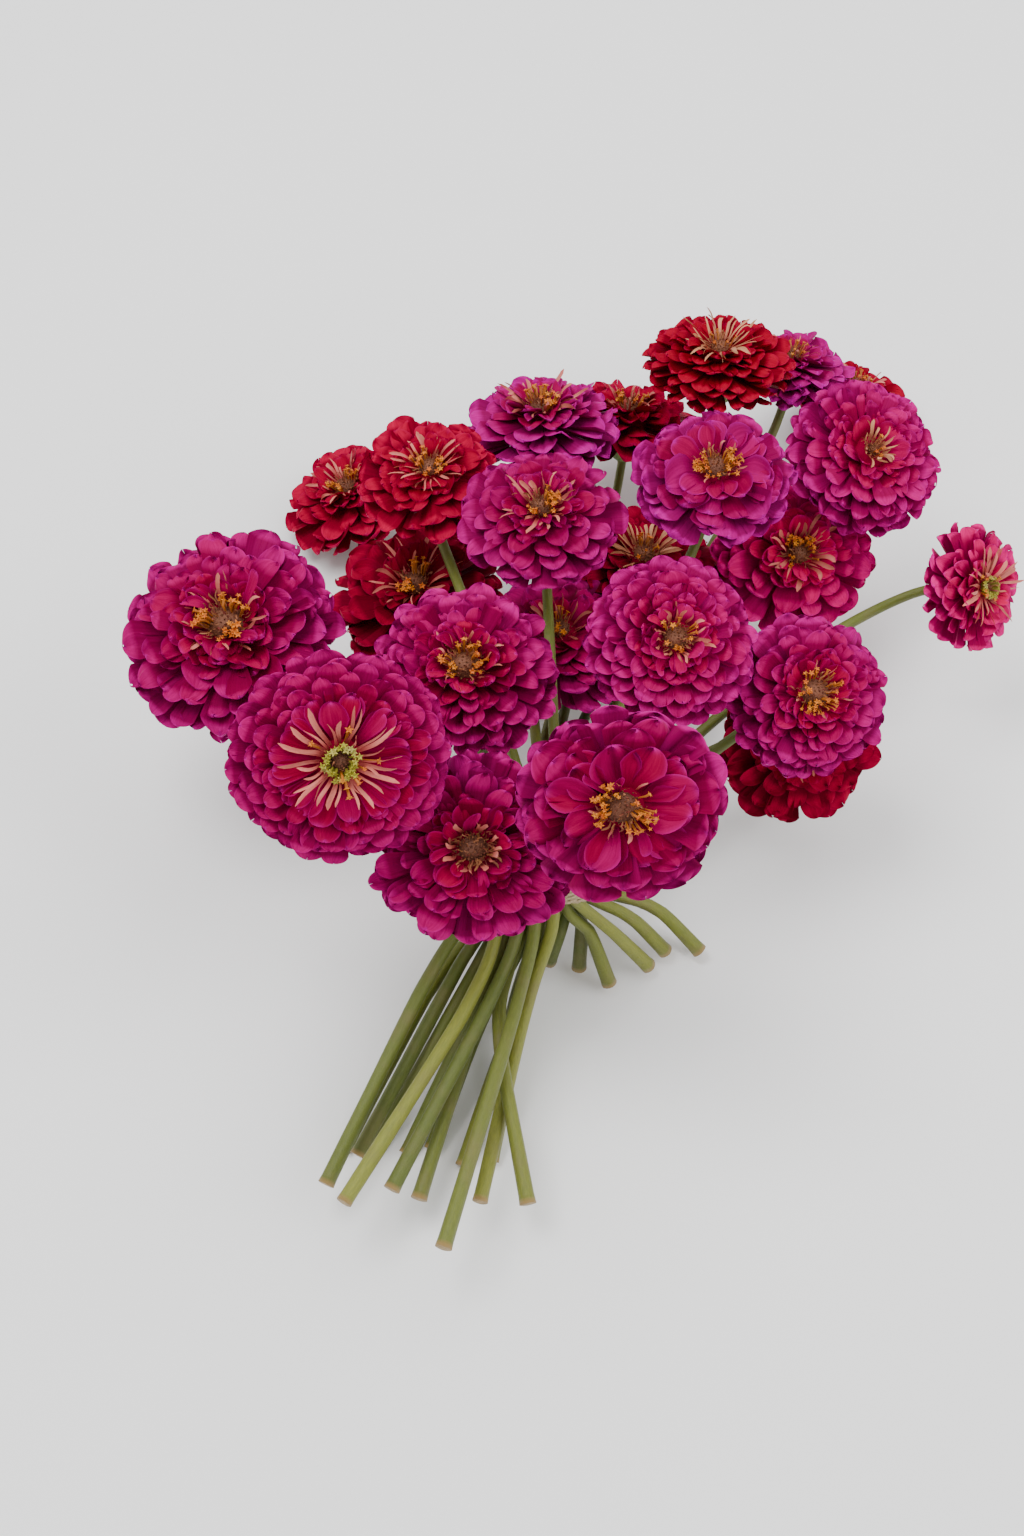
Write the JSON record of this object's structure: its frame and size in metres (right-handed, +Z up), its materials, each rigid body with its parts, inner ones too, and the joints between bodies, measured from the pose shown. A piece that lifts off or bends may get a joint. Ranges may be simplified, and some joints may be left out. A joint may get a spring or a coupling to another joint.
{
  "type": "zinnia bouquet",
  "caption": "Hand-tied bunch of double zinnias laid down, with domed layered blooms, green splayed stems and a natural twine tie.",
  "frame": {"origin": "centre of the bounding box in plan, at the level of the surface the bunch lies on", "axes": "+Z up from the surface, +Y from the cut stem ends towards the blooms, +X to the right seen from the cut ends"},
  "size_m": [0.3632, 0.4588, 0.1854],
  "materials": {
    "petal_magenta": "soft satin petal",
    "petal_purple": "soft satin petal",
    "petal_red": "soft satin petal",
    "petal_dark_red": "soft satin petal",
    "heart": "dry, granular",
    "stem": "fine hairs, semi-matt",
    "twine": "rough natural fibre"
  },
  "bodies": {
    "root": {"tie": "twine", "bloom_01": "petal_magenta", "stem_01": "stem", "heart_01": "heart", "bloom_02": "petal_magenta", "stem_02": "stem", "heart_02": "heart", "bloom_03": "petal_purple", "stem_03": "stem", "heart_03": "heart", "bloom_04": "petal_magenta", "stem_04": "stem", "heart_04": "heart", "bloom_05": "petal_magenta", "stem_05": "stem", "heart_05": "heart", "bloom_06": "petal_magenta", "stem_06": "stem", "heart_06": "heart", "bloom_07": "petal_magenta", "stem_07": "stem", "heart_07": "heart", "bloom_08": "petal_dark_red", "stem_08": "stem", "bloom_09": "petal_magenta", "stem_09": "stem", "heart_09": "heart", "bloom_10": "petal_magenta", "stem_10": "stem", "heart_10": "heart", "bloom_11": "petal_magenta", "stem_11": "stem", "heart_11": "heart", "bloom_12": "petal_purple", "stem_12": "stem", "heart_12": "heart", "bloom_13": "petal_red", "stem_13": "stem", "bloom_14": "petal_magenta", "stem_14": "stem", "bloom_15": "petal_red", "stem_15": "stem", "bloom_16": "petal_magenta", "stem_16": "stem", "heart_16": "heart", "bloom_17": "petal_red", "stem_17": "stem", "heart_17": "heart", "bloom_18": "petal_red", "stem_18": "stem", "bloom_19": "petal_magenta", "stem_19": "stem", "bloom_20": "petal_red", "stem_20": "stem", "bloom_21": "petal_dark_red", "stem_21": "stem", "bloom_22": "petal_dark_red", "stem_22": "stem", "bloom_23": "petal_magenta", "stem_23": "stem"}
  },
  "joints": []
}
